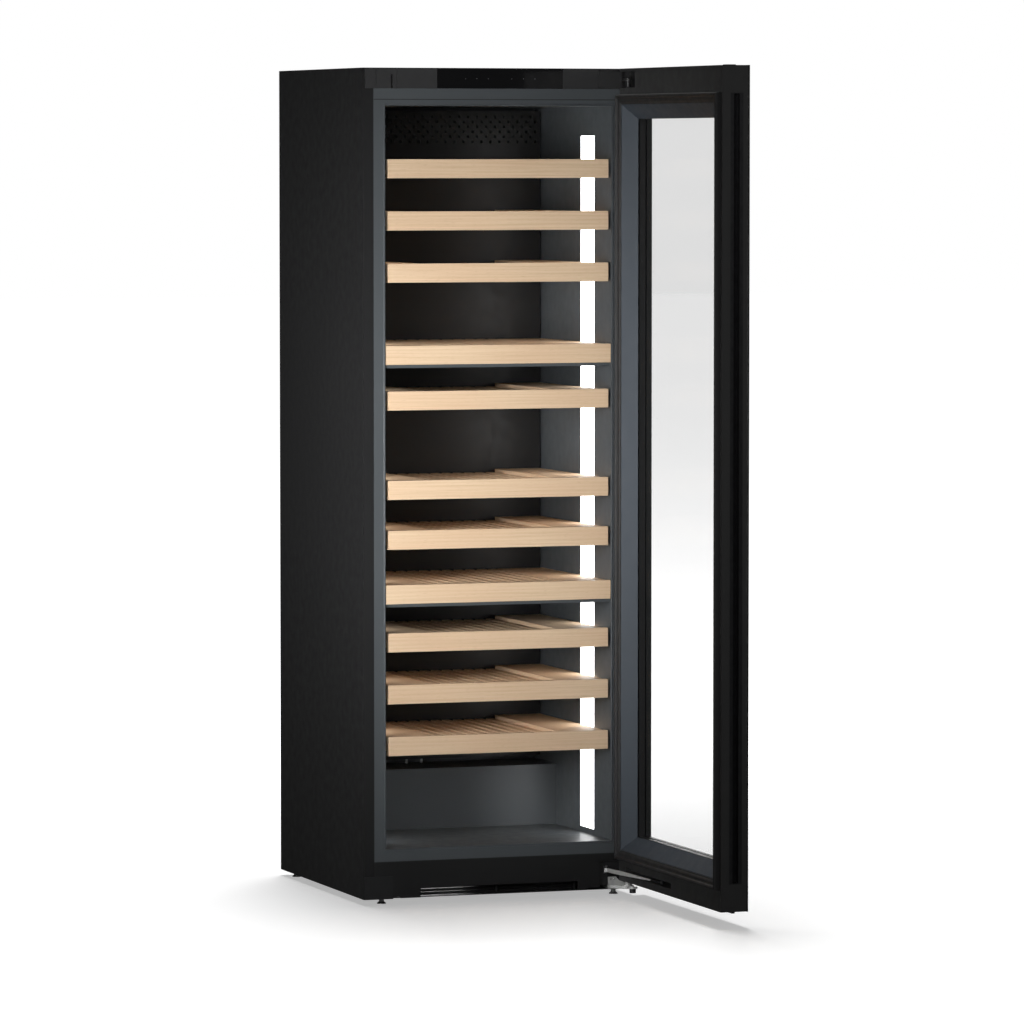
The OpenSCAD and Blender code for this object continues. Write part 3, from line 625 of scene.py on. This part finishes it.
# Display: small round touch marks, three on each side of its middle
def build_marks(bm):
    low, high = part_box("control_display")
    z = (low[2] + high[2]) / 2
    for i in (-3, -2, -1, 1, 2, 3):
        at = Matrix.Translation(((low[0] + high[0]) / 2 + i * 30 * MM, low[1], z)) @ facing((0, -1, 0))
        lathe(bm, [(1.3 * MM, -0.1 * MM), (1.3 * MM, 0.02 * MM), (1.1 * MM, 0.04 * MM)], at, 24)


piece("touch_marks", build_marks, RAIL, "cabinet")


# Levelling feet: threads on the stems
def build_threads(bm):
    for x, y in FEET:
        base = Matrix.Translation((x, y, 0))
        pitch = 1.25 * MM
        start = 6.2 * MM
        outline = [(5.2 * MM, start)]
        for i in range(4):
            z = start + pitch * i
            outline += [(5.6 * MM, z + 0.2 * pitch), (6.6 * MM, z + 0.5 * pitch),
                        (5.6 * MM, z + 0.8 * pitch)]
        outline.append((5.2 * MM, start + pitch * 4.2))
        lathe(bm, outline, base, 40)


piece("foot_threads", build_threads, ZINC, "cabinet")


# Compressor: its weld seam and its terminal cover
def build_seam(bm):
    low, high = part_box("compressor")
    centre = ((low[0] + high[0]) / 2, (low[1] + high[1]) / 2)
    r = 86 * MM
    z = low[2] + 0.45 * (high[2] - low[2])
    lathe(bm, [(r - 2 * MM, z - 4 * MM), (r + 0.6 * MM, z - 3 * MM), (r + 3 * MM, z - 1.5 * MM),
               (r + 3 * MM, z + 1.5 * MM), (r + 0.6 * MM, z + 3 * MM), (r - 2 * MM, z + 4 * MM)],
          Matrix.Translation((centre[0], centre[1], 0)), 72)


piece("compressor_seam", build_seam, CASTING, "cabinet", True)


def build_terminal(bm):
    low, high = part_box("compressor")
    x = (low[0] + high[0]) / 2
    y = (low[1] + high[1]) / 2 + 80 * MM
    z = low[2] + 60 * MM
    bar(bm, (x - 32 * MM, y, z), (x + 32 * MM, y + 26 * MM, z + 62 * MM), 4 * MM)
    bar(bm, (x - 26 * MM, y + 22 * MM, z + 8 * MM), (x + 26 * MM, y + 30 * MM, z + 54 * MM), 3 * MM)
    for dx in (-20 * MM, 20 * MM):
        screw(bm, (x + dx, y + 30 * MM, z + 31 * MM), (0, 1, 0), 3 * MM)


piece("terminal_cover", build_terminal, BLACK, "cabinet")


# ---------------------------------------------------------------- camera, lights, floor

CAMERA_AT = (-4.91262, -14.07177, 1.83866)
CAMERA_YAW = math.radians(-19.36546)
CAMERA_PITCH = math.radians(-3.38072)
CAMERA_LENS = 214.02

camera_data = bpy.data.cameras.new("camera")
camera_data.sensor_width = 36.0
camera_data.lens = CAMERA_LENS
camera_data.clip_end = 200.0
camera = bpy.data.objects.new("camera", camera_data)
camera.location = CAMERA_AT
camera.rotation_euler = (math.radians(90) + CAMERA_PITCH, 0.0, CAMERA_YAW)
bpy.context.scene.collection.objects.link(camera)
bpy.context.scene.camera = camera


def softbox(name, place, target, size, power):
    """A rectangular lamp of the given size in metres and power in watts, aimed at the target."""
    data = bpy.data.lights.new(name, "AREA")
    data.shape = "RECTANGLE"
    data.size, data.size_y = size
    data.energy = power
    lamp = bpy.data.objects.new(name, data)
    lamp.location = place
    aim = Vector(target) - Vector(place)
    lamp.rotation_euler = aim.to_track_quat("-Z", "Y").to_euler()
    bpy.context.scene.collection.objects.link(lamp)
    return lamp


near = softbox("near_light", (-1.95, -1.55, 1.15), (-0.35, -0.08, 1.15), (0.4, 1.3), 11.0)
near.data.spread = math.radians(54)
key = softbox("key_light", (-4.2, -8.0, 3.0), (0.0, -0.1, 1.2), (3.0, 3.0), 110.0)
fill = softbox("fill_light", (6.5, -6.5, 3.0), (0.0, 0.0, 1.0), (3.0, 3.0), 75.0)
top = softbox("top_light", (0.45, 2.8, 15.0), (0.45, 2.8, 0.0), (3.0, 5.6), 1800.0)
top.rotation_euler.z = CAMERA_YAW
rear = softbox("rear_light", (3.0, 8.0, 2.5), (0.0, 0.5, 0.9), (3.0, 3.0), 160.0)

# The backdrop is white to the eye, but the dark cabinet mirrors only a dim room
world = bpy.data.worlds.new("studio")
world.use_nodes = True
sky = world.node_tree
backdrop = sky.nodes["Background"]
backdrop.inputs["Color"].default_value = (1.0, 1.0, 1.0, 1.0)
seen = sky.nodes.new("ShaderNodeLightPath")
level = sky.nodes.new("ShaderNodeMapRange")
level.inputs["To Min"].default_value = 0.04
level.inputs["To Max"].default_value = 1.0
sky.links.new(seen.outputs["Is Camera Ray"], level.inputs["Value"])
sky.links.new(level.outputs["Result"], backdrop.inputs["Strength"])
bpy.context.scene.world = world
bpy.context.scene.view_settings.view_transform = "Standard"

floor_mesh = bpy.data.meshes.new("floor")
REACH = 60.0
floor_mesh.from_pydata([(-REACH, -REACH, 0), (REACH, -REACH, 0), (REACH, REACH, 0), (-REACH, REACH, 0)],
                       [], [(0, 1, 2, 3)])
floor = bpy.data.objects.new("floor", floor_mesh)
# the glow rises away from the object, where the lights no longer reach
floor_look = Shade("floor_white", (0.8, 0.8, 0.8), 0.7)
floor_look.set("Emission Color", (1.0, 1.0, 1.0, 1.0))
away = floor_look.add("VectorMath", operation="LENGTH")
floor_look.link(floor_look.coords, away.inputs[0])
glow = floor_look.spread(away.outputs["Value"], 0.42, 1.02, 0.6, 3.6)
floor_look.link(glow, floor_look.bsdf.inputs["Emission Strength"])
floor_mesh.materials.append(floor_look.mat)
bpy.context.scene.collection.objects.link(floor)
floor.visible_glossy = False
floor.visible_diffuse = False

# only the top light reaches the floor, so that the shadow lies softly round the base
for lamp in (near, key, fill, rear):
    lit_by = bpy.data.collections.new(lamp.name + "_receivers")
    lit_by.objects.link(floor)
    lit_by.collection_objects[0].light_linking.link_state = "EXCLUDE"
    lamp.light_linking.receiver_collection = lit_by
    lamp.visible_camera = False
top.visible_camera = False
